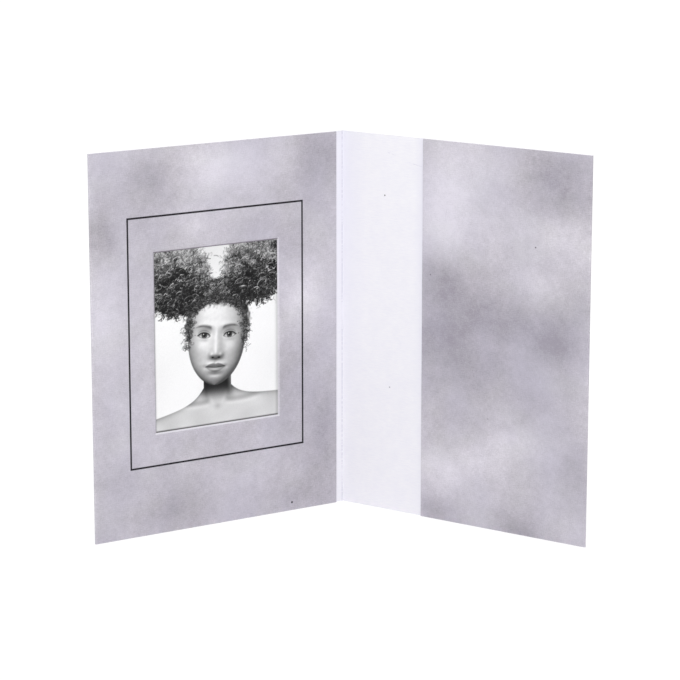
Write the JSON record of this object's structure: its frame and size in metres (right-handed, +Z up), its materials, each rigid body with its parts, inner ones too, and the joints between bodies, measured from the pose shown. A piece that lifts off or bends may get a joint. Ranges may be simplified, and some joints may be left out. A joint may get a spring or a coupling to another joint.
{
  "type": "photo card mount",
  "caption": "Folded card photo mount standing open like a book, with a printed window leaf framing a small portrait print and a turned-in flap beside a bare strip at the spine.",
  "frame": {"origin": "on the floor under the middle of the open folder's outline, which is the middle of its bounding box in plan", "axes": "+Z up along the spine; +X to the reader's right as the open folder is read; -Y towards the reader, the way it opens, so the spine is at +Y"},
  "size_m": [0.2528, 0.0862, 0.2032],
  "materials": {
    "printed_card": "matt card, mottled lilac-grey print on one side and bare white on the other",
    "photo_paper": "satin photographic paper",
    "shoulder_grey": "printed grey tone on satin paper",
    "skin_grey": "printed light grey tone on satin paper",
    "hair_grey": "printed dark grey tone on satin paper",
    "keyline_ink": "matt black ink on card",
    "dried_glue": "dried white paper glue"
  },
  "bodies": {
    "root": {"folded_card": "printed_card", "photo_print": "photo_paper", "portrait_shoulders": "shoulder_grey", "portrait_face": "skin_grey", "portrait_hair": "hair_grey", "printed_keyline": "keyline_ink", "pocket_glue_lower": "dried_glue", "pocket_glue_upper": "dried_glue", "pocket_glue_outer": "dried_glue", "turn_in_glue_edge": "dried_glue", "turn_in_glue_lower": "dried_glue", "turn_in_glue_upper": "dried_glue"}
  },
  "joints": []
}
